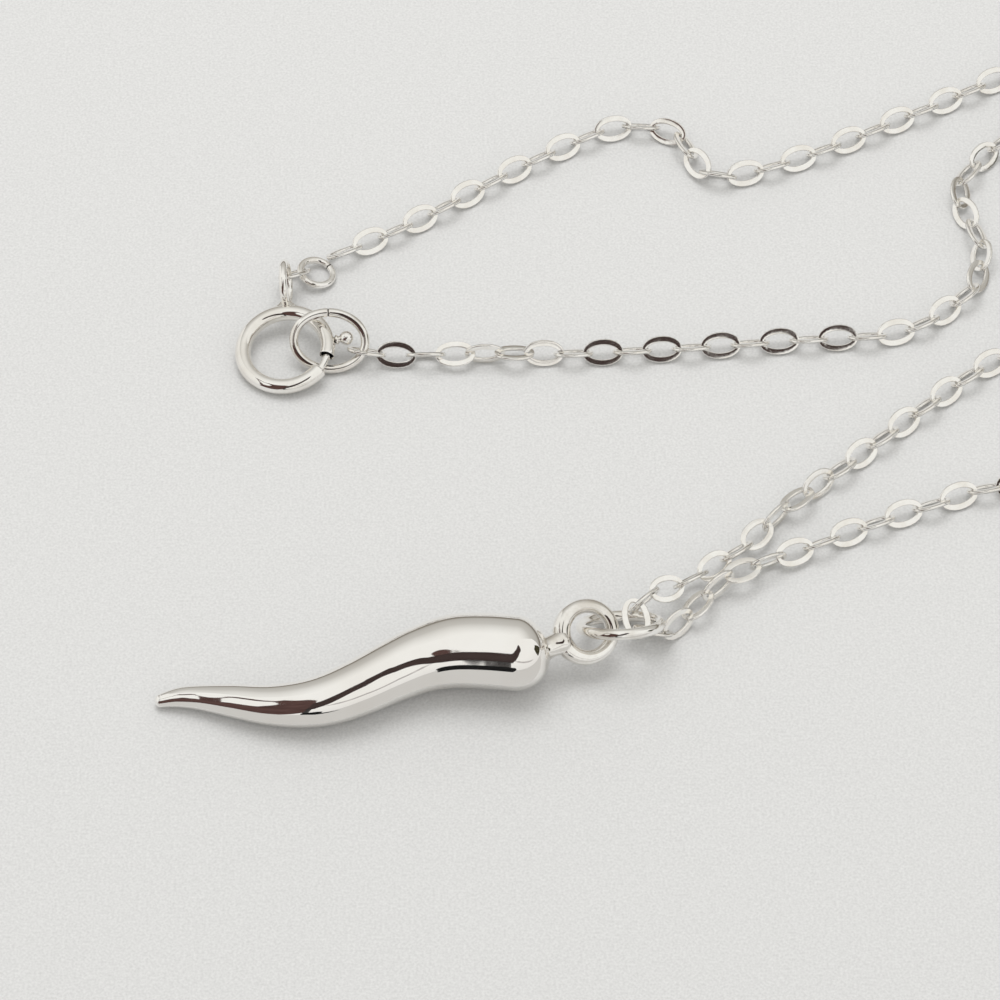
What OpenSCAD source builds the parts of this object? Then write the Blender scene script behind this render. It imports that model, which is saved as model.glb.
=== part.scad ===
// Horn charm necklace: a polished silver horn on a fine cable chain with a bolt ring clasp,
// lying on a flat surface. Millimetres, +Z up, origin under the middle of the whole outline.

/* [Horn] */
// Length of the horn from tip to head, without its ring
horn_len = 22.2; // [18:0.1:24]
// Diameter of the horn where it is fullest
horn_d = 4.3; // [3.6:0.1:4.8]
// Outer diameter of the ring soldered to the head
horn_ring_d = 3.6; // [3.4:0.1:3.8]
// Wire of the ring soldered to the head
horn_ring_wire = 0.72; // [0.6:0.01:0.75]

/* [Jump rings] */
// Outer diameter of the jump ring that carries the horn on the chain
bail_d = 5.1; // [5:0.05:5.2]
// Wire of the jump ring that carries the horn
bail_wire = 0.64; // [0.55:0.01:0.66]
// Length of the oval ring that the bolt closes on
tag_len = 4.8; // [4.7:0.05:4.9]
// Width of the oval ring that the bolt closes on
tag_w = 3.9; // [3.85:0.05:4]
// Wire of the oval ring
tag_wire = 0.54; // [0.45:0.01:0.56]
// Outer diameter of the small ring between the chain and the eye of the clasp
end_ring_d = 2.35; // [2.3:0.01:2.4]
// Wire of the small ring
end_ring_wire = 0.32; // [0.28:0.01:0.34]

/* [Chain] */
// Length of one link
link_len = 2.39; // [2.38:0.01:2.4]
// Width of one link
link_w = 1.55; // [1.5:0.01:1.6]
// Wire of a link, seen from above the link
link_wire = 0.19; // [0.17:0.01:0.2]
// Thickness of a link
link_t = 0.2; // [0.18:0.01:0.22]
// Distance from one link to the next
link_pitch = 1.765; // [1.75:0.005:1.77]

/* [Clasp] */
// Outer diameter of the bolt ring
clasp_d = 6; // [5.9:0.05:6.1]
// Diameter of its tube
tube_d = 0.88; // [0.84:0.01:0.9]
// Diameter of the bore in the tube
bore_d = 0.58; // [0.56:0.01:0.6]
// Diameter of the sliding bolt
bolt_d = 0.44; // [0.4:0.01:0.46]
// Angle that the bolt slides back to open
bolt_travel = 26; // [20:1:27]
// Outer diameter of the eye soldered to the clasp
eye_d = 3.1; // [3:0.05:3.15]
// Wire of the eye
eye_wire = 0.5; // [0.46:0.01:0.52]

/* [Hidden] */
$fn = 48;

// The middle of the whole outline, taken off every place so that it becomes the origin
middle = [33.6, 11.63, 0];

// Links lean this far to one side and the other, in turn
lean = 45;

// Horn, from the tip to the head: percent of the straight stretch, percent of sway to the
// side, percent of the full diameter
horn_rows = [
    [0, 0, 18],
    [5, 0.5, 26.5],
    [11, 0, 33],
    [20.5, -2, 44],
    [30.5, -4.1, 53],
    [40, -4.5, 62],
    [48, -3.1, 69],
    [56.5, 0.5, 75],
    [65, 5.1, 80.5],
    [73.5, 9, 88],
    [82.5, 11.1, 97],
    [91.5, 11.1, 100],
    [100, 10.3, 100],
];
horn_tip_cap = 0.35;
horn_head_cap = 1.95;
horn_at = [-19.05, -14.6, 0];
horn_sides = 32;
horn_steps = 3;
cap_steps = 6;

// The ring on the head: its centre, the way its neck points and how far it leans to the viewer
horn_ring_at = [4.95, -11.15, 2.3];
horn_ring_yaw = 27;
horn_ring_lean = 36;
neck_d = [1.8, 1.2];
neck_len = 1.1;

// The jump rings: centre, and turn about X, Y and Z
bail_at = [6.83, -10.4, 1.86];
bail_turn = [-39, -10, -8];
tag_at = [-10.15, 11, 1.35];
tag_turn = [39, 4.5, -1];
tag_sides = 14;
tag_steps = 44;
end_ring_at = [-11.1, 17.16, 0.43];
end_ring_turn = [-1, 14.7, 0.6];

// Clasp: centre on the surface plan, lean towards the viewer and rise of its right side
clasp_plan = [-12.78, 10.7];
clasp_lean = 8.8;
clasp_rise = 6;
clasp_r = (clasp_d - tube_d) / 2;
clasp_height = clasp_r * sqrt(1 - pow(cos(clasp_lean) * cos(clasp_rise), 2)) + tube_d / 2;
clasp_at = [clasp_plan.x, clasp_plan.y, clasp_height];
clasp_turn = [clasp_lean, -clasp_rise, 0];
mouth_from = -37;
mouth_to = -14;
knob_at = 8;
slot_w = 0.44;
slot_margin = 5;
stem_d = 0.32;
knob_d = 0.8;
knob_reach = 3.72;
bolt_from = -40.5;
bolt_to = 48;
eye_y = clasp_d / 2 + eye_d / 2 - 0.02;
foot_len = 0.55;
foot_d = [1.8, 0.9];
foot_h = 0.72;

// Chain route through the middle of the links: x, y, lift off the surface, extra twist.
// It runs from the eye of the clasp, out and round to the horn, and back to the oval ring.
chain_rows = [
    [-10.2, 18.25, 0.1, 0],
    [-7.8, 19.6, 0, 0],
    [-4.75, 21.45, 0, 0],
    [-1.85, 23.5, 0, 0],
    [1, 25.5, 0, 0],
    [3.9, 27.3, 0, 0],
    [6.5, 28.75, 0, 0],
    [8.2, 29.1, 0, 0],
    [9.85, 28.9, 0, 0],
    [11.15, 28.25, 0, 0],
    [11.7, 27.1, 0.05, 0],
    [11.95, 25.75, 0.2, 0],
    [13.15, 24.85, 0, -6],
    [14.8, 25, 0, 0],
    [18.1, 26.2, 0, 0],
    [21.25, 27.7, 0, 0],
    [24.4, 29.4, 0, 0],
    [27.6, 31.1, 0, 0],
    [31.4, 33.2, 0, 0],
    [38, 36.4, 0, 0],
    [48, 39, 0, 0],
    [60, 39.2, 0, 0],
    [72, 35.5, 0, 0],
    [81, 27.5, 0, 0],
    [86, 16.5, 0, 0],
    [82.5, 5, 0, 0],
    [74, -2.5, 0, 0],
    [62, -5, 0, 0],
    [50.5, -4, 0, 0],
    [39.5, -1.4, 0, 0],
    [33.5, 0.3, 0, 0],
    [29, 0.6, 0, 0],
    [25.5, -0.6, 0, 0],
    [22.1, -1.95, 0, 0],
    [18.8, -3.45, 0, 5],
    [15.6, -5, 0, 25],
    [14.05, -5.85, 0.4, 49],
    [12.25, -7, 0.15, 48],
    [11.2, -8.35, 0, 74],
    [9.65, -10, 0, 67],
    [8.4, -10.3, 0.5, 90],
    [7.15, -10, 0.9, 131],
    [8.25, -8.5, 1.15, 151],
    [9.3, -7.65, 0.8, 165],
    [10.9, -6.65, 0.35, 170],
    [12.45, -5.35, 0.4, 179],
    [13.9, -4.15, 0.1, 172],
    [14.9, -3, 0, 155],
    [17.15, -0.6, 0, 115],
    [19.8, 1.8, 0, 94],
    [23.8, 5.4, 0, 90],
    [26.4, 7.7, 0, 90],
    [29.8, 10.3, 0, 90],
    [36.5, 13.2, 0, 90],
    [46, 13.3, 0, 90],
    [56, 10.8, 0, 90],
    [65, 10.4, 0, 90],
    [70.6, 15, 0, 90],
    [70.6, 22, 0, 90],
    [64.5, 28, 0, 90],
    [54.5, 31, 0, 90],
    [44.5, 32, 0, 90],
    [36.7, 31, 0, 90],
    [32.2, 28.7, 0, 90],
    [30.2, 26.8, 0, 90],
    [28.6, 24.9, 0, 90],
    [28.1, 22.9, 0, 90],
    [28.9, 20.8, 0, 90],
    [29.3, 18.5, 0, 90],
    [28.7, 16.1, 0, 90],
    [27.1, 14.3, 0, 90],
    [25.2, 12.9, 0, 90],
    [23.3, 12.15, 0, 90],
    [20.45, 11.9, 0, 90],
    [17, 11.65, 0, 90],
    [13.4, 11.3, 0, 90],
    [9.8, 11, 0, 90],
    [6.2, 10.75, 0, 90],
    [2.7, 10.6, 0, 84],
    [-0.9, 10.5, 0, 45],
    [-4.5, 10.45, 0, 6],
    [-6.9, 10.5, 0.15, 0],
    [-8.8, 10.55, 0.5, 0],
];
chain_steps = 12;

// The link that joins the small ring to the eye: its two ends, and its roll about its length
eye_link_from = [-12.77, 16.34, 1.05];
eye_link_to = [-12.06, 17.08, 0.59];
eye_link_roll = -35;

// A smooth curve through rows of numbers
function between(a, b, c, d, t) =
    (2 * b + (c - a) * t + (2 * a - 5 * b + 4 * c - d) * t * t + (3 * b - a - 3 * c + d) * t * t * t) / 2;
function smooth(rows, steps) = let (last = len(rows) - 1) [
    for (i = [0 : last - 1], k = [0 : steps - 1])
        between(rows[max(i - 1, 0)], rows[i], rows[i + 1], rows[min(i + 2, last)], k / steps),
    rows[last],
];
function place(row) = [row[0], row[1], row[2]];
function column(rows, n) = [for (row = rows) row[n]];

// The distance run along a curve up to each of its points
function run(points) = [
    for (i = 0, s = 0; i < len(points);
        s = s + (i + 1 < len(points) ? norm(points[i + 1] - points[i]) : 0), i = i + 1) s,
];
function unit(v) = v / norm(v);

// Rings of points round a curve, and the faces that join them
function swept_points(centres, radii, sides, closed) = let (n = len(centres)) [
    for (i = [0 : n - 1])
        let (
            before = closed ? centres[(i + n - 1) % n] : centres[max(i - 1, 0)],
            after = closed ? centres[(i + 1) % n] : centres[min(i + 1, n - 1)],
            along = unit(after - before),
            side = unit(cross([0, 0, 1], along)),
            up = cross(along, side)
        )
            for (k = [0 : sides - 1])
                centres[i] + radii[i] * (cos(360 * k / sides) * side + sin(360 * k / sides) * up),
];
function swept_faces(n, sides, closed) = [
    for (i = [0 : n - (closed ? 1 : 2)], k = [0 : sides - 1])
        let (a = i * sides, b = ((i + 1) % n) * sides, next = (k + 1) % sides)
            [a + k, b + k, b + next, a + next],
    if (!closed) [for (k = [0 : sides - 1]) k],
    if (!closed) [for (k = [sides - 1 : -1 : 0]) (n - 1) * sides + k],
];
module swept(centres, radii, sides, closed) {
    polyhedron(
        points = swept_points(centres, radii, sides, closed),
        faces = swept_faces(len(centres), sides, closed),
        convexity = 6);
}

// A ring of round wire, flat in XY
module wire_ring(outer_d, wire) {
    rotate_extrude()
        translate([(outer_d - wire) / 2, 0])
            circle(d = wire);
}

// One chain link, flat in XY, long in X: a band between two ovals made of four arcs
module link_outline(inset) {
    side_r = 0.65 * link_len;
    intersection() {
        circle(d = link_len - 2 * inset);
        translate([0, side_r - link_w / 2]) circle(r = side_r - inset);
        translate([0, link_w / 2 - side_r]) circle(r = side_r - inset);
    }
}
module link() {
    linear_extrude(link_t, center = true)
        difference() {
            link_outline(0);
            link_outline(link_wire);
        }
}
module link_between(a, b, roll) {
    way = b - a;
    flat = norm([way.x, way.y]);
    translate((a + b) / 2)
        rotate([0, -atan2(way.z, flat), atan2(way.y, way.x)])
            rotate([roll, 0, 0]) link();
}

// Horn: the sections along its body, with the rounded tip before and the rounded head after
horn_body = horn_len - horn_tip_cap - horn_head_cap;
horn_curve = [
    for (row = smooth(horn_rows, horn_steps))
        [row[0] * horn_body / 100, row[1] * horn_body / 100, row[2] * horn_d / 100],
];
horn_first = horn_curve[0];
horn_last = horn_curve[len(horn_curve) - 1];
horn_sections = [
    for (k = [0 : cap_steps - 1])
        let (a = 88 - 88 * k / cap_steps)
            [horn_first[0] - horn_tip_cap * sin(a), horn_first[1], horn_first[2] * cos(a)],
    each horn_curve,
    for (k = [1 : cap_steps])
        let (a = 86 * k / cap_steps)
            [horn_last[0] + horn_head_cap * sin(a), horn_last[1] + 0.1 * sin(a), horn_last[2] * cos(a)],
];
horn_fullest = max(column(horn_curve, 2));
horn_belly = [for (s = horn_curve) if (s[2] == horn_fullest) s[0]][0];
horn_centres = [
    for (s = horn_sections)
        horn_at + [s[0], s[1], s[0] < horn_belly ? max(s[2], horn_first[2]) / 2 : horn_fullest / 2],
];

module horn() color("silver") translate(-middle) {
    swept(horn_centres, column(horn_sections, 2) / 2, horn_sides, false);
    translate(horn_ring_at) rotate([0, 0, horn_ring_yaw]) {
        rotate([horn_ring_lean, 0, 0]) wire_ring(horn_ring_d, horn_ring_wire);
        translate([-horn_ring_d / 2 - neck_len + horn_ring_wire / 2, 0, 0])
            rotate([0, 90, 0]) cylinder(h = neck_len, d1 = neck_d[0], d2 = neck_d[1]);
    }
}

module bail_ring() color("silver") translate(bail_at - middle)
    rotate(bail_turn) wire_ring(bail_d, bail_wire);

module end_ring() color("silver") translate(end_ring_at - middle)
    rotate(end_ring_turn) wire_ring(end_ring_d, end_ring_wire);

// Oval ring, seen from above: an ellipse of round wire
module tag_ring() {
    reach = [tag_len - tag_wire, tag_w - tag_wire] / 2;
    centres = [
        for (k = [0 : tag_steps - 1])
            let (a = 360 * k / tag_steps) [reach.x * cos(a), reach.y * sin(a), 0],
    ];
    color("silver") translate(tag_at - middle) rotate(tag_turn)
        swept(centres, [for (c = centres) tag_wire / 2], tag_sides, true);
}

// Chain: equal steps along the route, with every second link leaning the other way.
// Half the height of the steeper of two links, with a hair of room under it
function link_rest(twist) = let (steep = max(abs(sin(lean + twist)), abs(sin(lean - twist))))
    link_w / 2 * steep + link_t / 2 * sqrt(1 - steep * steep) + 0.01;
route = [for (row = smooth(chain_rows, chain_steps)) row + [0, 0, link_rest(row[3]), 0]];
route_run = run([for (row = route) place(row)]);
route_len = route_run[len(route) - 1];
route_tables = [for (n = [0 : 3]) [for (i = [0 : len(route) - 1]) [route_run[i], route[i][n]]]];
link_count = round(route_len / link_pitch);
joints = [for (i = [0 : link_count]) [for (table = route_tables) lookup(route_len * i / link_count, table)]];

module chain() color("gainsboro") translate(-middle) {
    for (i = [0 : link_count - 1])
        link_between(place(joints[i]), place(joints[i + 1]),
            (i % 2 == 0 ? -lean : lean) + (joints[i][3] + joints[i + 1][3]) / 2);
    link_between(eye_link_from, eye_link_to, eye_link_roll);
}

// Clasp: a tube bent into an open ring, with an eye standing on its back
module tube_arc(from, to, d) {
    rotate([0, 0, from]) rotate_extrude(angle = to - from)
        translate([clasp_r, 0]) circle(d = d);
}
module clasp_foot() {
    intersection() {
        translate([0, clasp_d / 2 - 0.12, 0])
            rotate([-90, 0, 0]) cylinder(h = foot_len, d1 = foot_d[0], d2 = foot_d[1]);
        translate([0, clasp_d / 2, 0]) cube([foot_d[0] + 1, 2 * foot_len + 1, foot_h], center = true);
    }
}
module clasp_body() color("silver") translate(clasp_at - middle) rotate(clasp_turn) {
    difference() {
        union() {
            tube_arc(mouth_to, 360 + mouth_from, tube_d);
            translate([0, eye_y, 0]) rotate([0, 90, 0]) wire_ring(eye_d, eye_wire);
            clasp_foot();
        }
        tube_arc(mouth_to - 2, 360 + mouth_from + 2, bore_d);
        rotate([0, 0, knob_at - slot_margin])
            rotate_extrude(angle = bolt_travel + 2 * slot_margin)
                translate([clasp_r + bore_d / 4, -slot_w / 2]) square([tube_d, slot_w]);
    }
}
module clasp_bolt() color("gainsboro") translate(clasp_at - middle) rotate(clasp_turn) {
    tube_arc(bolt_from, bolt_to, bolt_d);
    rotate([0, 0, knob_at]) {
        translate([clasp_r, 0, 0]) rotate([0, 90, 0]) cylinder(h = knob_reach - clasp_r, d = stem_d);
        translate([knob_reach, 0, 0]) sphere(d = knob_d);
    }
}

horn();
bail_ring();
chain();
end_ring();
tag_ring();
clasp_body();
clasp_bolt();
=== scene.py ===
import math

import bpy
import numpy as np
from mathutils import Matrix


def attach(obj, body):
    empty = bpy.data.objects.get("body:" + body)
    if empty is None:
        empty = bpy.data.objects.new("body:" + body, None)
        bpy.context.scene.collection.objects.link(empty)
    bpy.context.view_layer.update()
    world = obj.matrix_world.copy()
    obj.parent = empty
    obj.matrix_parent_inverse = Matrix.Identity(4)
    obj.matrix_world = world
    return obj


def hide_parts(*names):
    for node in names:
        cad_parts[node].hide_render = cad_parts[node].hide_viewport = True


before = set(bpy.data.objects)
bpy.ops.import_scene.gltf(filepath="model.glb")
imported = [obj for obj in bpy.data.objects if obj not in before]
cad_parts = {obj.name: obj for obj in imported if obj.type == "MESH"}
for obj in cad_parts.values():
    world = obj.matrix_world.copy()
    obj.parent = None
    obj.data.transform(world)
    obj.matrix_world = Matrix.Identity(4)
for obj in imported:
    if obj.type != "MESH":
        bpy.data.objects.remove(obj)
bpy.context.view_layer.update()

# Horn: a solid silver casting with an S-shaped sway, tumbled and then polished bright. It
# lies on its side and touches the surface along its whole length, from the thin rounded
# tip to the blunt head.
MIDDLE = np.array([33.6, 11.63, 0.0])  # the part's origin, in the millimetres of the layout


def rounded(rows, steps):
    """A curve through rows of numbers. Each stretch is the cubic whose slope at a row is half
    the step from the row before it to the row after it."""
    rows = np.array(rows, float)
    last = len(rows) - 1
    share = np.arange(steps)[:, None] / steps
    before, start, end, after = (
        rows[np.clip(np.arange(last) + k, 0, last)][:, None, :] for k in (-1, 0, 1, 2)
    )
    curve = (2 * start + (end - before) * share
             + (2 * before - 5 * start + 4 * end - after) * share**2
             + (3 * start - before - 3 * end + after) * share**3) / 2
    return np.vstack([curve.reshape(-1, rows.shape[1]), rows[last]])


def skin(name, rings, loop=False, capped=True, keep=None):
    """A surface over a grid of points, one row of the grid for each ring round the shape. Each
    ring joins the next one, and the last joins the first if loop is set. Otherwise caps run
    from the first and the last ring to a point in its middle, unless capped is unset, and keep
    tells which faces are made. Millimetres go in, metres come out."""
    count, sides = rings.shape[:2]
    points = rings.reshape(-1, 3)
    rows = np.arange(count if loop else count - 1)
    ring, side = np.meshgrid(rows, np.arange(sides), indexing="ij")
    next_ring, next_side = (ring + 1) % count, (side + 1) % sides
    faces = np.stack([ring * sides + side, ring * sides + next_side,
                      next_ring * sides + next_side, next_ring * sides + side], -1)
    faces = faces.reshape(-1, 4)
    faces = (faces if keep is None else faces[keep.ravel()]).tolist()
    if capped and not loop:
        points = np.vstack([points, rings[0].mean(0), rings[-1].mean(0)])
        side, next_side = side[0], next_side[0]
        middle = np.full(sides, count * sides)
        faces += np.stack([next_side, side, middle], -1).tolist()
        far = (count - 1) * sides
        faces += np.stack([far + side, far + next_side, middle + 1], -1).tolist()
    mesh = bpy.data.meshes.new(name)
    mesh.from_pydata(((points - MIDDLE) / 1000).tolist(), [], faces)
    outward(mesh)
    mesh.shade_smooth()
    piece = bpy.data.objects.new(name, mesh)
    bpy.context.scene.collection.objects.link(piece)
    return piece


def outward(mesh):
    """Turns all faces outwards: the volume that they close in has to come out positive."""
    mesh.calc_loop_triangles()
    at = np.zeros(len(mesh.vertices) * 3)
    mesh.vertices.foreach_get("co", at)
    corner = np.zeros(len(mesh.loop_triangles) * 3, int)
    mesh.loop_triangles.foreach_get("vertices", corner)
    first, second, third = at.reshape(-1, 3)[corner.reshape(-1, 3)].transpose(1, 0, 2)
    if np.einsum("ij,ij->i", first, np.cross(second, third)).sum() < 0:
        mesh.flip_normals()


def round_rings(path, radius, sides, loop=False):
    """Circles round a path, square to it: each point is the path's point, plus the radius
    times cosine of the angle to the side, plus the radius times sine of the angle upwards."""
    if loop:
        along = np.roll(path, -1, 0) - np.roll(path, 1, 0)
    else:
        along = np.gradient(path, axis=0)
    along = along / np.linalg.norm(along, axis=1, keepdims=True)
    side = np.cross([0, 0, 1.0], along)
    side /= np.linalg.norm(side, axis=1, keepdims=True)
    up = np.cross(along, side)
    angle = np.linspace(0, 2 * np.pi, sides, endpoint=False)[None, :, None]
    radius = np.broadcast_to(radius, len(path))[:, None, None]
    return path[:, None] + radius * (np.cos(angle) * side[:, None] + np.sin(angle) * up[:, None])


def turned(points, degrees, at=(0, 0, 0)):
    """Points turned about X, then Y, then Z, and moved to their place."""
    x, y, z = np.radians(degrees)
    about_x = np.array([[1, 0, 0], [0, np.cos(x), -np.sin(x)], [0, np.sin(x), np.cos(x)]])
    about_y = np.array([[np.cos(y), 0, np.sin(y)], [0, 1, 0], [-np.sin(y), 0, np.cos(y)]])
    about_z = np.array([[np.cos(z), -np.sin(z), 0], [np.sin(z), np.cos(z), 0], [0, 0, 1]])
    return points @ (about_z @ about_y @ about_x).T + np.array(at)


def silver(name, bright, shade, rough, wave_mm, wave_depth_um, grain_um):
    """Bright silver: the colour drifts between two tones over the length of a wave, the
    polish is a little uneven, and the surface waves slightly under fine polishing lines."""
    material = bpy.data.materials.new(name)
    material.use_nodes = True
    nodes, links = material.node_tree.nodes, material.node_tree.links
    surface = nodes["Principled BSDF"]
    surface.inputs["Metallic"].default_value = 1.0
    surface.inputs["IOR"].default_value = 1.45
    where = nodes.new("ShaderNodeTexCoord")

    # the colour: patches a little larger than the waves
    tone = nodes.new("ShaderNodeTexNoise")
    tone.inputs["Scale"].default_value = 800 / wave_mm
    tone.inputs["Detail"].default_value = 4
    links.new(where.outputs["Object"], tone.inputs["Vector"])
    colours = nodes.new("ShaderNodeValToRGB")
    colours.color_ramp.elements[0].position = 0.32
    colours.color_ramp.elements[0].color = (*shade, 1)
    colours.color_ramp.elements[1].position = 0.6
    colours.color_ramp.elements[1].color = (*bright, 1)
    links.new(tone.outputs["Fac"], colours.inputs["Fac"])
    links.new(colours.outputs["Color"], surface.inputs["Base Color"])

    # the polish: patches of about a millimetre
    haze = nodes.new("ShaderNodeTexNoise")
    haze.inputs["Scale"].default_value = 900
    haze.inputs["Detail"].default_value = 6
    links.new(where.outputs["Object"], haze.inputs["Vector"])
    polish = nodes.new("ShaderNodeMapRange")
    polish.inputs["From Min"].default_value = 0.35
    polish.inputs["From Max"].default_value = 0.7
    polish.inputs["To Min"].default_value = rough[0]
    polish.inputs["To Max"].default_value = rough[1]
    links.new(haze.outputs["Fac"], polish.inputs["Value"])
    links.new(polish.outputs["Result"], surface.inputs["Roughness"])

    # the waves of the surface, and polishing lines along X over them
    wave = nodes.new("ShaderNodeTexNoise")
    wave.inputs["Scale"].default_value = 1000 / wave_mm
    wave.inputs["Detail"].default_value = 1
    links.new(where.outputs["Object"], wave.inputs["Vector"])
    soft = nodes.new("ShaderNodeBump")
    soft.inputs["Strength"].default_value = 1.0
    soft.inputs["Distance"].default_value = wave_depth_um * 1e-6
    links.new(wave.outputs["Fac"], soft.inputs["Height"])
    stretch = nodes.new("ShaderNodeMapping")
    stretch.inputs["Scale"].default_value = (1, 7, 7)
    links.new(where.outputs["Object"], stretch.inputs["Vector"])
    lines = nodes.new("ShaderNodeTexNoise")
    lines.inputs["Scale"].default_value = 2500
    lines.inputs["Detail"].default_value = 3
    links.new(stretch.outputs["Vector"], lines.inputs["Vector"])
    fine = nodes.new("ShaderNodeBump")
    fine.inputs["Strength"].default_value = 1.0
    fine.inputs["Distance"].default_value = grain_um * 1e-6
    links.new(lines.outputs["Fac"], fine.inputs["Height"])
    links.new(soft.outputs["Normal"], fine.inputs["Normal"])
    links.new(fine.outputs["Normal"], surface.inputs["Normal"])
    return material


# percent of the straight stretch along it and to the side, and percent of the fullest width
HORN = [
    (0, 0, 18), (5, 0.5, 26.5), (11, 0, 33), (20.5, -2, 44), (30.5, -4.1, 53),
    (40, -4.5, 62), (48, -3.1, 69), (56.5, 0.5, 75), (65, 5.1, 80.5), (73.5, 9, 88),
    (82.5, 11.1, 97), (91.5, 11.1, 100), (100, 10.3, 100),
]
HORN_LEN, HORN_D, TIP_CAP, HEAD_CAP = 22.2, 4.3, 0.35, 1.95
HEAD_SLOPE, HEAD_CURVE = -0.09, 0.19
HORN_AT = np.array([-19.05, -14.6, 0.0])
stretch_len = HORN_LEN - TIP_CAP - HEAD_CAP
body = rounded(HORN, steps=14) * [stretch_len / 100, stretch_len / 100, HORN_D / 100]
# the tip and the head are quarter ellipses, and the middle of the head curves to the side
angle = np.radians(np.linspace(89, 4, 14))[:, None]
tip = np.hstack([body[0, 0] - TIP_CAP * np.sin(angle),
                 0 * angle + body[0, 1],
                 body[0, 2] * np.cos(angle)])
angle = np.radians(np.linspace(3, 89.5, 26))[:, None]
head = np.hstack([body[-1, 0] + HEAD_CAP * np.sin(angle),
                  body[-1, 1] + HEAD_SLOPE * np.sin(angle) + HEAD_CURVE * np.sin(angle) ** 2,
                  body[-1, 2] * np.cos(angle)])
horn_rows = np.vstack([tip, body, head])
# a ring's middle is as high as its radius, so that the horn lies on the surface. The tip
# stays as high as its first full ring, and what follows the fullest ring as high as that one
fullest = body[:, 2].max()
belly = body[body[:, 2].argmax(), 0]
height = np.where(horn_rows[:, 0] < belly, np.maximum(horn_rows[:, 2], body[0, 2]), fullest) / 2
horn_line = HORN_AT + np.column_stack([horn_rows[:, :2], height])
horn = skin("horn_casting", round_rings(horn_line, horn_rows[:, 2] / 2, sides=72))
horn_silver = silver("horn_silver", (0.97, 0.955, 0.93), (0.93, 0.905, 0.87),
                     rough=(0.035, 0.075), wave_mm=3.2, wave_depth_um=9, grain_um=0.02)
horn.data.materials.append(horn_silver)
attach(horn, "necklace")
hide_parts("horn")

# Neck and ring of the horn: a ring on a short neck, cast with the horn and filed smooth. Its
# wire grows thicker towards the neck. It stands at a slant, so that the jump ring can swing.
RING_AT, RING_YAW, RING_LEAN = np.array([4.95, -11.15, 2.3]), 27, 36
RING_D, RING_WIRE, RING_SWELL, RING_STEPS = 3.66, 0.79, 0.13, 96
NECK_START, NECK_RUN, WAIST_R, WAIST_AT = -3.1, 1.84, 0.61, 0.4
NECK_FLARE, RING_FLARE, CLOSE_AT, CLOSE_RUN, CLOSE_BY = 2.1, 0.9, 0.7, 0.3, 0.8


def ring_path(outer, wire, sides):
    """Points round a circle that runs through the middle of the wire, flat in X and Y."""
    angle = np.linspace(0, 2 * np.pi, sides, endpoint=False)
    return (outer - wire) / 2 * np.column_stack([np.cos(angle), np.sin(angle), 0 * angle])


angle = np.linspace(0, 2 * np.pi, RING_STEPS, endpoint=False)
# the swell is full on the side of the neck, and grows outwards, so that the hole stays round
swell = RING_SWELL * ((1 - np.cos(angle)) / 2) ** 3
grown = 1 + swell / (RING_D - RING_WIRE) * 2
loop_path = ring_path(RING_D, RING_WIRE, RING_STEPS) * grown[:, None]
loop_rings = round_rings(loop_path, RING_WIRE / 2 + swell, sides=28, loop=True)
loop_rings = turned(turned(loop_rings, (RING_LEAN, 0, 0)), (0, 0, RING_YAW), RING_AT)
horn_ring = skin("horn_ring", loop_rings, loop=True)
# the neck: its radius grows as a square to both sides of a waist, and closes as a quarter
# ellipse inside the wire
run = np.linspace(0, 1, 44)
close = np.clip((run - CLOSE_AT) / CLOSE_RUN, 0, 1)
flare = np.where(run < WAIST_AT, NECK_FLARE, RING_FLARE) * (run - WAIST_AT) ** 2
neck_radius = (WAIST_R + flare) * np.sqrt(1 - CLOSE_BY * close**2)
neck_path = np.column_stack([NECK_START + NECK_RUN * run, 0 * run, 0 * run])
neck_rings = round_rings(neck_path, neck_radius, sides=40)
neck = skin("horn_neck", turned(neck_rings, (0, 0, RING_YAW), RING_AT))
loop_silver = silver("loop_silver", (0.965, 0.95, 0.92), (0.74, 0.7, 0.64),
                     rough=(0.06, 0.12), wave_mm=1.2, wave_depth_um=6, grain_um=0.03)
for piece in (horn_ring, neck):
    piece.data.materials.append(loop_silver)
    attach(piece, "necklace")
    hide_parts("horn")

# Jump rings: round silver wire wound on a rod, sawn through, closed and soldered. The seam
# shows as a fine line. One carries the horn, a small one joins the clasp, and the bolt
# closes through the oval one.
BAIL = dict(outer=(5.1, 5.1), wire=0.64, at=(6.83, -10.4, 1.86), turn=(-39, -10, -8), seam=128)
END = dict(outer=(2.42, 2.42), wire=0.42, at=(-11.1, 17.16, 0.43), turn=(-1, 14.7, 0.6), seam=40)
TAG = dict(outer=(4.8, 3.9), wire=0.54, at=(-10.15, 11, 1.35), turn=(39, 4.5, -1), seam=95)
WIRE_STEPS, WIRE_SIDES, CROWDING = 120, 24, 0.9
SEAM_DEPTH, SEAM_REACH, SEAM_DARK = 0.2, 0.04, 0.035


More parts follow.
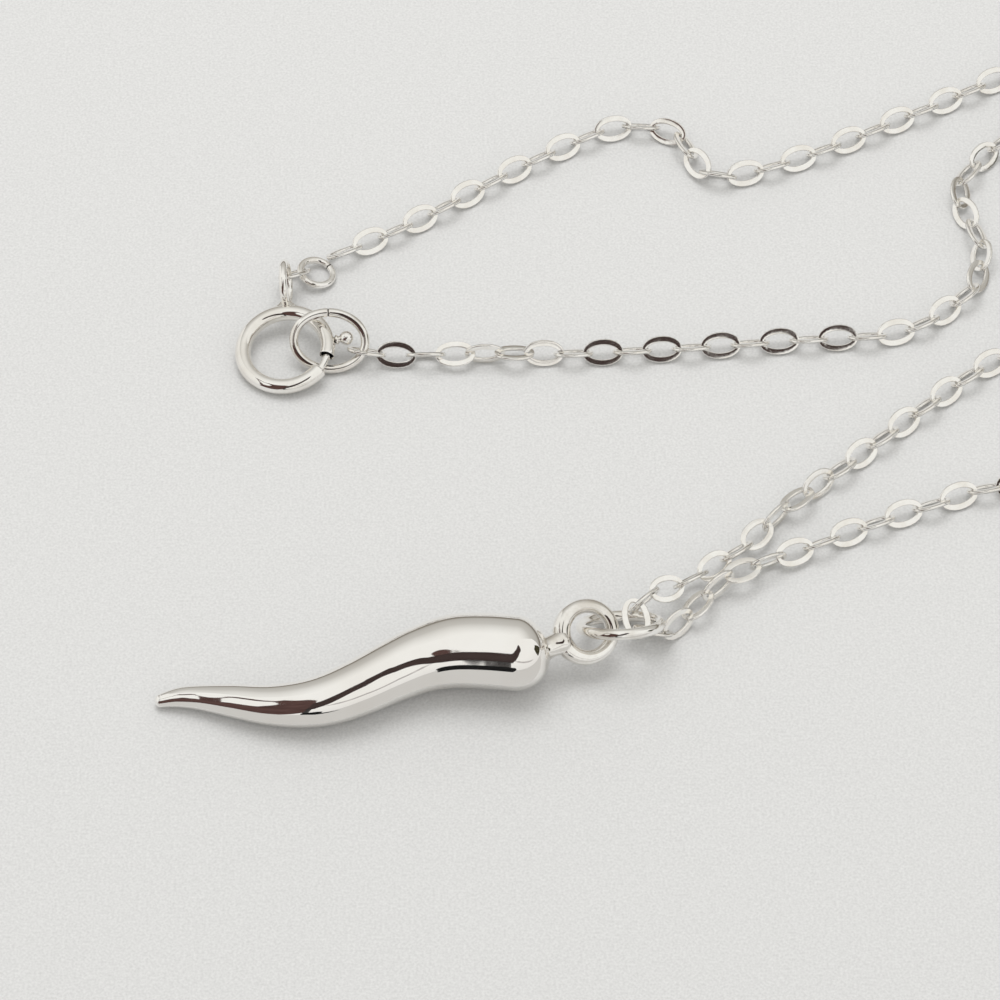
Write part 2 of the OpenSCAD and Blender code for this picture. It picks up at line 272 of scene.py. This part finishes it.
def jump_ring(name, outer, wire, at, turn, seam):
    """Round wire along an ellipse, in steps that are short near the seam. The wire's radius is
    full, but for a narrow groove at the seam: it falls by a fifth, as a bell curve of the
    distance from the seam. The bottom of the groove takes the second material."""
    steps = np.linspace(-np.pi, np.pi, WIRE_STEPS, endpoint=False)
    angle = np.radians(seam) + steps - CROWDING * np.sin(steps)
    path = np.column_stack([(outer[0] - wire) / 2 * np.cos(angle),
                            (outer[1] - wire) / 2 * np.sin(angle),
                            0 * angle])
    off_seam = np.mod(angle - np.radians(seam) + np.pi, 2 * np.pi) - np.pi
    away = off_seam * (outer[0] - wire) / 2
    radius = wire / 2 * (1 - SEAM_DEPTH * np.exp(-((away / SEAM_REACH) ** 2)))
    rings = round_rings(path, radius, WIRE_SIDES, loop=True)
    ring = skin(name, turned(rings, turn, at), loop=True)
    deep = np.repeat(np.abs((away + np.roll(away, -1)) / 2) < SEAM_DARK, WIRE_SIDES)
    ring.data.materials.append(ring_silver)
    ring.data.materials.append(seam_shade)
    ring.data.polygons.foreach_set("material_index", deep.astype(np.int32))
    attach(ring, "necklace")
    return ring


ring_silver = silver("ring_silver", (0.965, 0.95, 0.92), (0.76, 0.72, 0.66),
                     rough=(0.05, 0.1), wave_mm=1.2, wave_depth_um=5, grain_um=0.02)
seam_shade = silver("seam_shade", (0.12, 0.11, 0.1), (0.03, 0.028, 0.025),
                    rough=(0.4, 0.6), wave_mm=0.3, wave_depth_um=4, grain_um=0.05)
for name, node, sizes in (("bail_jump_ring", "bail_ring", BAIL),
                          ("end_jump_ring", "end_ring", END),
                          ("oval_jump_ring", "tag_ring", TAG)):
    ring = jump_ring(name, **sizes)
    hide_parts(node)

# Chain: oval links stamped flat from fine wire, each turned a quarter against the next. A
# link here is a flat band with broken edges, set where each link of the solid chain lies.
LINK_LEN, LINK_W, END_BAND, SIDE_BAND, THICK = 2.42, 1.62, 0.26, 0.38, 0.22
LINK_STEPS, SQUARE, WIDEN, EASE = 22, 2.1, 1.5, 5
chain_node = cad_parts["chain"]


def link_places(mesh):
    """The middle and the three axes of each link. Corners that coincide are one point, the
    triangles that share points make a link, and its axes are those of its points' spread."""
    mesh.calc_loop_triangles()
    at = np.zeros(len(mesh.vertices) * 3)
    mesh.vertices.foreach_get("co", at)
    corner = np.zeros(len(mesh.loop_triangles) * 3, int)
    mesh.loop_triangles.foreach_get("vertices", corner)
    places = np.round(at.reshape(-1, 3) * 1e7).astype(np.int64)
    points, same = np.unique(places, axis=0, return_inverse=True)
    triangles = same.ravel()[corner].reshape(-1, 3)
    label = np.arange(len(points))
    while True:
        least = label[triangles].min(1)
        new = label.copy()
        np.minimum.at(new, triangles.ravel(), np.repeat(least, 3))
        new = new[new]
        if (new == label).all():
            break
        label = new
    _, link, count = np.unique(label, return_inverse=True, return_counts=True)
    points = points / 1e7
    middles = np.stack([np.bincount(link, points[:, axis]) / count for axis in range(3)], 1)
    off = points - middles[link]
    spread = np.stack([
        [np.bincount(link, off[:, one] * off[:, other]) for one in range(3)]
        for other in range(3)
    ])
    axes = np.linalg.eigh(spread.transpose(2, 0, 1))[1][:, :, ::-1]
    axes[:, :, 2] *= np.sign(np.linalg.det(axes))[:, None]
    return middles, axes


# the band's section as shares of half its width and half its thickness, with the way that
# each corner faces: two flats, and edges broken to a point on each side
shape = np.array([(0.72, 1), (1, 0), (0.72, -1), (-0.72, -1), (-1, 0), (-0.72, 1)])
facing = np.array([(0.08, 1), (1, 0), (0.08, -1), (-0.08, -1), (-1, 0), (-0.08, 1)])
facing = facing / np.linalg.norm(facing, axis=1, keepdims=True)
corners = len(shape)
# the outer edge is an ellipse, drawn out a little at its corners, and the band is rolled
# wider along the sides than at the ends, where the next link hangs
turn = np.linspace(0, 2 * np.pi, LINK_STEPS, endpoint=False)
bulge = (np.abs(np.cos(turn)) ** SQUARE + np.abs(np.sin(turn)) ** SQUARE) ** (-1 / SQUARE)
edge = np.column_stack([LINK_LEN / 2 * bulge * np.cos(turn), LINK_W / 2 * bulge * np.sin(turn)])
ahead = np.roll(edge, -1, 0) - np.roll(edge, 1, 0)
out = np.column_stack([ahead[:, 1], -ahead[:, 0]]) / np.linalg.norm(ahead, axis=1, keepdims=True)
band = (END_BAND + (SIDE_BAND - END_BAND) * np.abs(out[:, 1]) ** WIDEN)[:, None, None]
flat = edge[:, None] + out[:, None] * (shape[None, :, :1] - 1) * band / 2
rise = np.broadcast_to(shape[None, :, 1:] * THICK / 2, (LINK_STEPS, corners, 1))
link_points = np.concatenate([flat, rise], -1) / 1000
upward = np.broadcast_to(facing[None, :, 1:], (LINK_STEPS, corners, 1))
link_facing = np.concatenate([out[:, None] * facing[None, :, :1], upward], -1)
middles, axes = link_places(chain_node.data)
# a link that leans at 45 degrees settles a little flatter: it turns about its length by 5
# degrees, the way that brings its width axis down, and sinks by as much as its edge would rise
steep = np.abs(axes[:, 2, 1]) / np.sqrt(1 - axes[:, 2, 0] ** 2)
ease = np.radians(EASE) * ((steep > 0.6) & (steep < 0.8)) * np.sign(axes[:, 2, 1] * axes[:, 2, 2])
across, face = axes[:, :, 1].copy(), axes[:, :, 2].copy()
axes[:, :, 1] = np.cos(ease)[:, None] * across - np.sin(ease)[:, None] * face
axes[:, :, 2] = np.cos(ease)[:, None] * face + np.sin(ease)[:, None] * across
middles[:, 2] -= (np.abs(across[:, 2]) - np.abs(axes[:, 2, 1])) * LINK_W / 2000
links_at = middles[:, None] + np.einsum("pc,lrc->lpr", link_points.reshape(-1, 3), axes)
links_facing = np.einsum("pc,lrc->lpr", link_facing.reshape(-1, 3), axes)
# the faces of one link, and then the same ones for every link, each past the points before it
step, corner = np.meshgrid(np.arange(LINK_STEPS), np.arange(corners), indexing="ij")
next_step, next_corner = (step + 1) % LINK_STEPS, (corner + 1) % corners
quads = np.stack([step * corners + corner, next_step * corners + corner,
                  next_step * corners + next_corner, step * corners + next_corner], -1)
before = LINK_STEPS * corners * np.arange(len(middles))
quads = (quads.reshape(1, -1, 4) + before[:, None, None]).reshape(-1, 4)
mesh = bpy.data.meshes.new("chain_links")
mesh.from_pydata(links_at.reshape(-1, 3).tolist(), [], quads.tolist())
outward(mesh)
mesh.shade_smooth()
mesh.normals_split_custom_set_from_vertices(links_facing.reshape(-1, 3).tolist())
chain = bpy.data.objects.new("chain_links", mesh)
bpy.context.scene.collection.objects.link(chain)
chain_silver = silver("chain_silver", (0.97, 0.955, 0.925), (0.9, 0.87, 0.82),
                      rough=(0.08, 0.16), wave_mm=0.7, wave_depth_um=8, grain_um=0.03)
chain.data.materials.append(chain_silver)
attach(chain, "necklace")
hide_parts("chain")

# Bolt ring clasp: silver tube bent into an open ring, its lips turned in, with a slot for the
# thumb knob. An eye of round wire is soldered on edge to its back, on a flared foot.
CLASP_AT, CLASP_TURN = np.array([-12.78, 10.7, 0.91253]), (8.8, -6, 0)
TUBE_R, TUBE_D, WALL, MOUTH, TUBE_STEPS, TUBE_SIDES = 2.56, 0.94, 0.1, (-14, 323), 240, 36
LIP_LEN, LEAVING_LIP, TAKING_LIP = 0.12, 0.02, 0.1
KNOB, TRAVEL, SLOT_W, SLOT_END, SLOT_SIDE = 8, 26, 0.44, 5, 4


def tube_rings(start, end, radius_of, steps, sides):
    """Circles round an arc of the clasp's ring, from one angle to another, in degrees. The
    radius of each circle is given by the share of the way along the arc."""
    share = np.linspace(0, 1, steps)
    share = (1 - np.cos(share * np.pi)) / 2
    angle = np.radians(start + (end - start) * share)[:, None, None]
    across = np.linspace(0, 2 * np.pi, sides, endpoint=False)[None, :, None]
    radius = radius_of(share)[:, None, None]
    reach = TUBE_R + radius * np.cos(across)
    lift = radius * np.sin(across) + 0 * angle
    return np.concatenate([reach * np.cos(angle), reach * np.sin(angle), lift], -1)


def lips(share):
    """Full along the tube, and drawn in at both ends as a quarter circle: a little at the
    mouth that the bolt comes from, and more at the one that takes it."""
    length = np.radians(MOUTH[1] - MOUTH[0]) * TUBE_R
    near = np.clip(np.minimum(share, 1 - share) * length / LIP_LEN, 0, 1)
    drawn = np.where(share < 0.5, LEAVING_LIP, TAKING_LIP)
    return TUBE_D / 2 - drawn * (1 - np.sqrt(1 - (1 - near) ** 2))


tube_mm = turned(tube_rings(*MOUTH, lips, TUBE_STEPS, TUBE_SIDES), CLASP_TURN, CLASP_AT)
# the slot is open where the arc passes the knob's travel, on the sixth of the tube's round
# that faces away from the middle of the clasp
arc = (1 - np.cos(np.linspace(0, 1, TUBE_STEPS) * np.pi)) / 2 * (MOUTH[1] - MOUTH[0]) + MOUTH[0]
arc = (arc[1:, None] + arc[:-1, None]) / 2
half_slot = np.degrees(math.asin(SLOT_W / TUBE_D))
lying = (np.arange(TUBE_SIDES) + 0.5) * 360 / TUBE_SIDES
lying = np.abs(np.mod(lying + 180, 360) - 180)[None, :]
slot = ((arc > KNOB - SLOT_END) & (arc < KNOB + TRAVEL + SLOT_END)
        & (lying < half_slot + SLOT_SIDE))
tube = skin("clasp_tube", tube_mm, capped=False, keep=~slot)
wall = tube.modifiers.new("wall", "SOLIDIFY")
wall.thickness = WALL / 1000
wall.offset = -1
wall.material_offset = 1
clasp_silver = silver("clasp_silver", (0.965, 0.95, 0.92), (0.86, 0.83, 0.78),
                      rough=(0.045, 0.09), wave_mm=1.8, wave_depth_um=6, grain_um=0.02)
bore_shade = silver("bore_shade", (0.05, 0.045, 0.04), (0.012, 0.011, 0.01),
                    rough=(0.45, 0.7), wave_mm=0.4, wave_depth_um=3, grain_um=0.05)
tube.data.materials.append(clasp_silver)
tube.data.materials.append(bore_shade)
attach(tube, "necklace")
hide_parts("clasp_body")

# Thumb bolt: a hard silver rod with domed ends, bent to the ring's curve. It carries a round
# knob on a short stem, which a fingernail pulls back along the slot.
BOLT_D, DOME_TIP, BOLT = 0.42, 0.004, (-40.5, 48)
STEM_D, STEM_TOP, KNOB_D, KNOB_REACH = 0.36, 3.0, 0.86, 3.7
# the collar and the hollow neck: distance from the middle of the clasp's ring, and radius
COLLAR = [(3.05, 0.26), (3.1, 0.31), (3.16, 0.3), (3.21, 0.24), (3.26, 0.2), (3.3, 0.2)]


def domed(share):
    """The rod's radius, falling to nothing at both ends as a quarter circle."""
    length = np.radians(BOLT[1] - BOLT[0]) * TUBE_R
    near = np.clip(np.minimum(share, 1 - share) * length / (BOLT_D / 2), 0, 1)
    return np.maximum(BOLT_D / 2 * np.sqrt(1 - (1 - near) ** 2), DOME_TIP)


rod_rings = tube_rings(*BOLT, domed, steps=90, sides=24)
rod = skin("bolt_rod", turned(rod_rings, CLASP_TURN, CLASP_AT))
# stem and knob are one turned shape: a straight stem from inside the rod, a collar on a
# hollow neck, and a ball, from where the neck meets it to its far pole
ball = np.linspace(np.pi - 0.55, 0.02, 26)
profile = np.vstack([
    [(TUBE_R + 0.1, STEM_D / 2), (STEM_TOP, STEM_D / 2), *COLLAR],
    np.column_stack([KNOB_REACH + KNOB_D / 2 * np.cos(ball), KNOB_D / 2 * np.sin(ball)]),
])
path = np.column_stack([profile[:, 0], 0 * profile[:, 0], 0 * profile[:, 0]])
knob_rings = turned(round_rings(path, profile[:, 1], sides=28), (0, 0, KNOB))
knob = skin("bolt_knob", turned(knob_rings, CLASP_TURN, CLASP_AT))
for piece in (rod, knob):
    piece.data.materials.append(clasp_silver)
    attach(piece, "bolt")
    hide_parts("clasp_bolt")

# Eye of the clasp and its foot: a closed ring of wire that stands across the tube, with
# solder drawn up between the wire and the tube.
EYE_D, EYE_WIRE, EYE_Y = 3.1, 0.5, 4.53
FOOT_Y, FOOT_H, FOOT_TOP, FOOT_SPREAD, FOOT_CURVE = 2.8, 0.68, (0.3, 0.26), (0.68, 0.12), 1.7
eye_path = ring_path(EYE_D, EYE_WIRE, sides=80)
eye_rings = round_rings(eye_path, EYE_WIRE / 2, sides=24, loop=True)
eye_rings = turned(eye_rings, (0, 90, 0), (0, EYE_Y, 0))
eye = skin("clasp_eye", turned(eye_rings, CLASP_TURN, CLASP_AT), loop=True)
# the foot: ovals that narrow from the tube to the eye, fast at first and then slowly
run = np.linspace(0, 1, 24)[:, None, None]
around = np.linspace(0, 2 * np.pi, 36, endpoint=False)[None, :, None]
spread = (1 - run) ** FOOT_CURVE
foot_rings = np.concatenate([
    (FOOT_TOP[0] + FOOT_SPREAD[0] * spread) * np.cos(around),
    FOOT_Y + FOOT_H * run + 0 * around,
    (FOOT_TOP[1] + FOOT_SPREAD[1] * spread) * np.sin(around),
], -1)
foot = skin("clasp_foot", turned(foot_rings, CLASP_TURN, CLASP_AT))
for piece in (eye, foot):
    piece.data.materials.append(clasp_silver)
    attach(piece, "necklace")
    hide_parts("clasp_body")

# Surface: smooth pale card with a faint grain, large enough to fill every view. It lies just
# under the jewel.
FLOOR_SPAN, FLOOR_Z = 3, -2e-5
floor_corners = [(x * FLOOR_SPAN, y * FLOOR_SPAN, FLOOR_Z)
                 for x, y in ((-1, -1), (1, -1), (1, 1), (-1, 1))]
floor_mesh = bpy.data.meshes.new("floor")
floor_mesh.from_pydata(floor_corners, [], [(0, 1, 2, 3)])
floor = bpy.data.objects.new("floor", floor_mesh)
bpy.context.scene.collection.objects.link(floor)
card = bpy.data.materials.new("floor_card")
card.use_nodes = True
nodes, links = card.node_tree.nodes, card.node_tree.links
surface = nodes["Principled BSDF"]
surface.inputs["Roughness"].default_value = 0.7
where = nodes.new("ShaderNodeTexCoord")
mottle = nodes.new("ShaderNodeTexNoise")
mottle.inputs["Scale"].default_value = 7000
mottle.inputs["Detail"].default_value = 3
links.new(where.outputs["Object"], mottle.inputs["Vector"])
tones = nodes.new("ShaderNodeValToRGB")
tones.color_ramp.elements[0].position = 0.25
tones.color_ramp.elements[0].color = (0.545, 0.544, 0.544, 1)
tones.color_ramp.elements[1].position = 0.75
tones.color_ramp.elements[1].color = (0.67, 0.67, 0.669, 1)
links.new(mottle.outputs["Fac"], tones.inputs["Fac"])
links.new(tones.outputs["Color"], surface.inputs["Base Color"])
grain = nodes.new("ShaderNodeBump")
grain.inputs["Distance"].default_value = 5e-6
links.new(mottle.outputs["Fac"], grain.inputs["Height"])
links.new(grain.outputs["Normal"], surface.inputs["Normal"])
floor_mesh.materials.append(card)

# Light: a white tent of soft daylight, with the darker things of a room round its opening. They
# are cards that show only in the metal, and draw the dark stripe along the horn.
TENT_LOW, TENT_HIGH = (0.8, 0.79, 0.77), (0.885, 0.88, 0.85)
DOME_AT = (-0.0336, -0.0116, 0)
world = bpy.data.worlds.new("tent")
bpy.context.scene.world = world
world.use_nodes = True
nodes, links = world.node_tree.nodes, world.node_tree.links
tent = nodes["Background"]
tent.inputs["Strength"].default_value = 1.0
way = nodes.new("ShaderNodeTexCoord")
parts = nodes.new("ShaderNodeSeparateXYZ")
links.new(way.outputs["Generated"], parts.inputs["Vector"])
glow = nodes.new("ShaderNodeValToRGB")
glow.color_ramp.elements[0].position = 0.0
glow.color_ramp.elements[0].color = (*TENT_LOW, 1)
glow.color_ramp.elements[1].position = 0.5
glow.color_ramp.elements[1].color = (*TENT_HIGH, 1)
links.new(parts.outputs["Z"], glow.inputs["Fac"])
links.new(glow.outputs["Color"], tent.inputs["Color"])


def room_tone(name, colour, drift=1.5, top=None, height=0.0):
    """A glow without shading. Its colour drifts up to that many times brighter, or it turns into
    the top colour from 50 mm above the surface up to the given height, fast at first, then
    slowly, then fast again."""
    material = bpy.data.materials.new(name)
    material.use_nodes = True
    nodes, links = material.node_tree.nodes, material.node_tree.links
    paint = nodes["Principled BSDF"]
    pins = nodes.new("ShaderNodeTexCoord")
    if top:
        stops = ((0.16, 0.37), (0.58, 0.51), (0.85, 0.82))
        spread = nodes.new("ShaderNodeSeparateXYZ")
        value, low, high = spread.outputs["Z"], 0.05, height
    else:
        stops, top = (), [drift * part for part in colour]
        spread = nodes.new("ShaderNodeTexNoise")
        spread.inputs["Scale"].default_value = 9
        value, low, high = spread.outputs["Fac"], 0.3, 0.7
    links.new(pins.outputs["Object"], spread.inputs["Vector"])
    fade = nodes.new("ShaderNodeValToRGB")
    fade.color_ramp.elements[0].position = low
    fade.color_ramp.elements[0].color = (*colour, 1)
    fade.color_ramp.elements[1].position = high
    fade.color_ramp.elements[1].color = (*top, 1)
    for place, step in stops:
        stop = fade.color_ramp.elements.new(low + place * (high - low))
        stop.color = (*[start + step * (end - start) for start, end in zip(colour, top)], 1)
    links.new(value, fade.inputs["Fac"])
    links.new(fade.outputs["Color"], paint.inputs["Emission Color"])
    paint.inputs["Emission Strength"].default_value = 1.0
    paint.inputs["Base Color"].default_value = (0, 0, 0, 1)
    paint.inputs["Specular IOR Level"].default_value = 0.0
    material.cycles.emission_sampling = "NONE"
    return material


def stage_card(name, spots, faces, material):
    """A card of the stage that shows in the metal only."""
    mesh = bpy.data.meshes.new(name)
    mesh.from_pydata(spots, [], faces)
    mesh.materials.append(material)
    piece = bpy.data.objects.new(name, mesh)
    bpy.context.scene.collection.objects.link(piece)
    piece.visible_camera = piece.visible_shadow = piece.visible_diffuse = False


def room_card(name, edges, colour, radius=0.7, top=None):
    """A card on a dome round the jewel. Each row of edges is an elevation and the bearings, in
    degrees, of the card's left and right edge there; 0 is towards the viewer, + to the right.
    It is eight faces wide and four high for each row. Its material is handed back."""
    edges = rounded(edges, steps=4)
    across = 8
    share = np.linspace(0, 1, across + 1)[None, :]
    up = np.radians(edges[:, :1])
    bearing = np.radians(edges[:, 1:2] * (1 - share) + edges[:, 2:3] * share)
    spots = radius * np.stack([np.cos(up) * np.sin(bearing),
                               -np.cos(up) * np.cos(bearing),
                               np.sin(up) + 0 * bearing], -1)
    row, column = np.meshgrid(np.arange(len(edges) - 1), np.arange(across), indexing="ij")
    lower, upper = row * (across + 1) + column, (row + 1) * (across + 1) + column
    faces = np.stack([lower, lower + 1, upper + 1, upper], -1).reshape(-1, 4)
    material = room_tone(name, colour, top=top, height=spots[..., 2].max())
    stage_card(name, (spots.reshape(-1, 3) + DOME_AT).tolist(), faces.tolist(), material)
    return material


# the dark end of the room on the left, which the stripe mirrors, and the frame of its window
BROWN, ARM_BROWN = (0.07, 0.04, 0.036), (0.04, 0.028, 0.026)
GREY, BLACK = (0.04, 0.037, 0.036), (0.01, 0.01, 0.01)
room_card("room_left", [
    (0.5, -54, -23), (6, -53, -16), (13, -52, -9.5), (20, -51, -9.5), (26, -50.5, -10),
    (30, -49, -10.5), (34, -43, -11), (40, -43, -12), (48, -45, -13), (54, -54, -16),
    (58, -66, -22), (62, -70, -36),
], BROWN)
room_card("room_frame", [
    (14, -55, -50), (20, -56, -50), (26, -57, -50), (31, -59, -53), (36, -63, -57),
    (41, -67, -62.5), (46, -72, -69), (50, -77, -74), (54, -86, -78), (57, -90, -62),
    (59, -84, -62),
], BROWN, radius=0.69)
# the stripe along the head, and the line under it
room_card("room_arm", [
    (22, -13, -5.5), (26, -13, -3), (30, -13, 2), (36, -13, 7.5), (42, -14, 14),
    (46, -14, 18), (49, -10, 21), (51, -7.5, 24), (54, -5, 31), (57, -2, 35), (60, 2, 37),
    (64, 9, 39), (68, 16, 40), (73, 26, 40),
], ARM_BROWN, radius=0.69)
room_card("room_viewer", [(8, -12, -7.9), (24, -12, -8.1)], GREY, radius=0.68)
low_tone = room_card("room_low", [(0, -12, 3), (5, -12, 3), (8, -12, -1)], BLACK, radius=0.68)
# what stands on the right and behind, and shows in the rings, the clasp and the horn's far side
room_card("room_edge", [(12, 50, 62), (16, 36, 50), (20, 22, 38), (24, 9, 24), (28, -2, 12)],
          (0.4, 0.38, 0.37), radius=0.69)
room_card("room_side", [(5, 80, 102), (16, 80, 101), (25, 84, 97)], (0.04, 0.036, 0.02),
          radius=0.69)
back_tone = room_card("room_back", [
    (0.5, 100, 215), (30, 112, 225), (45, 110, 240), (60, 110, 250), (74, 110, 250),
], (0.2, 0.18, 0.15), top=TENT_HIGH)
# the surface as the metal sees it, in cards just over it: dim behind the horn, grey in front
# of it from just past its shadow, and a dark strip in the grey
front_tone = room_tone("front_floor", (0.58, 0.57, 0.55), drift=1.06)
FAR_FLOOR = [(-0.7, 0.11), (0.7, 0.11), (0.7, 0.7), (-0.7, 0.7)]
FRONT_FLOOR = [(-0.7, -0.69), (0.7, -0.69), (0.7, -0.027), (-0.036, -0.027), (-0.04, -0.0285),
               (-0.044, -0.0292), (-0.047, -0.0288), (-0.052, -0.027), (-0.7, -0.027)]
NEAR_FLOOR = [(-0.044, -0.05), (-0.18, -0.69), (0, -0.69), (-0.035, -0.05)]
for name, lift, outline, material in (("far_floor", 1e-5, FAR_FLOOR, back_tone),
                                      ("front_floor", 1e-5, FRONT_FLOOR, front_tone),
                                      ("near_floor", 2e-5, NEAR_FLOOR, low_tone)):
    spots = [(*corner, lift) for corner in outline]
    stage_card(name, spots, [tuple(range(len(spots)))], material)

# the window overhead: it draws the soft shadows, and the metal doesn't mirror it
lamp = bpy.data.lights.new("window", "AREA")
lamp.shape = "RECTANGLE"
lamp.size, lamp.size_y = 0.5, 0.44
lamp.energy = 2.1
window = bpy.data.objects.new("window", lamp)
window.location = (-0.1, 0.23, 0.62)
window.visible_glossy = False
bpy.context.scene.collection.objects.link(window)

# Camera: as the photograph was taken, from the front and 52 degrees up, with a long lens.
lens = bpy.data.cameras.new("camera")
lens.sensor_width = 36
lens.lens = 162
lens.clip_start = 0.01
camera = bpy.data.objects.new("camera", lens)
camera.location = (-0.0336, -0.17303, 0.20662)
camera.rotation_euler = (math.radians(38), 0, 0)
bpy.context.scene.collection.objects.link(camera)
bpy.context.scene.camera = camera
bpy.context.scene.view_settings.view_transform = "Standard"
